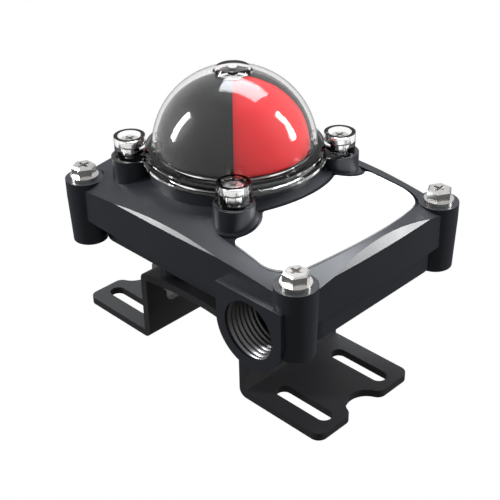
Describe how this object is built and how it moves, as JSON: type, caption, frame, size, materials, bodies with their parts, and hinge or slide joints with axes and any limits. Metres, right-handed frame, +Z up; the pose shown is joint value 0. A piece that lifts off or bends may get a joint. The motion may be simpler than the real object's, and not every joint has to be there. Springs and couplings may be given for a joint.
{
  "type": "valve limit switch box",
  "caption": "Black die-cast switch box with a clear domed position indicator, bare nameplate, threaded cable entry and a sheet-metal bracket with slotted feet.",
  "frame": {"origin": "on the shaft axis, in the plane under the bracket feet", "axes": "+Z up the shaft to the dome, +X to the long end with the nameplate, cable entry on the -Y side"},
  "size_m": [0.132, 0.092, 0.1116],
  "materials": {
    "black_coat": "satin",
    "black_sheet": "satin",
    "rubber": "matte",
    "clear": "gloss",
    "grey_plastic": "matte",
    "black_plastic": "gloss",
    "white_plastic": "matte",
    "red_plastic": "gloss",
    "green_plastic": "gloss",
    "plate_white": "satin",
    "steel": "satin",
    "brass": "satin"
  },
  "bodies": {
    "box": {"housing": "black_coat", "cover": "black_coat", "cover_gasket": "rubber", "dome": "clear", "dome_plug": "grey_plastic", "dome_gasket": "rubber", "dome_screws": "steel", "cover_bolts": "steel", "cover_washers": "steel", "nameplate": "plate_white", "indicator_shroud": "black_plastic", "shaft_bush": "brass", "top_o_ring": "rubber", "thrust_washer": "steel", "switch_a": "black_plastic", "switch_b": "black_plastic", "switch_terminals": "brass", "switch_carrier": "steel", "switch_spacer": "grey_plastic", "switch_screws": "steel", "terminal_block": "grey_plastic", "terminal_screws": "steel", "block_screws": "steel", "ground_washer": "steel", "ground_screw": "steel", "blanking_plug": "black_plastic", "bracket": "black_sheet", "bracket_washers": "steel", "bracket_screws": "steel"},
    "rotor": {"shaft": "steel", "drum_red": "red_plastic", "drum_green": "green_plastic", "drum_hub": "white_plastic", "drum_screw": "steel", "shaft_o_rings": "rubber", "retaining_clip": "steel", "cam_a": "red_plastic", "cam_b": "green_plastic", "cam_collars": "white_plastic", "cam_springs": "steel"},
    "push_a": {"plunger_a": "red_plastic", "roller_a": "steel"},
    "push_b": {"plunger_b": "red_plastic", "roller_b": "steel"}
  },
  "joints": [
    {"name": "shaft_turn", "type": "hinge", "parent": "box", "child": "rotor", "pos_m": [0, 0, 0.03], "axis": [0, 0, 1], "range_deg": [0, 90]},
    {"name": "push_a_slide", "type": "slide", "parent": "box", "child": "push_a", "axis": [1, 0, 0], "range_m": [0, 0.0015]},
    {"name": "push_b_slide", "type": "slide", "parent": "box", "child": "push_b", "axis": [-1, 0, 0], "range_m": [0, 0.0015]}
  ],
  "couplings": [
    {"joint": "push_a_slide", "follows": "shaft_turn", "m_per_rad": 0.00095493},
    {"joint": "push_b_slide", "follows": "shaft_turn", "m_per_rad": 0.00095493}
  ]
}
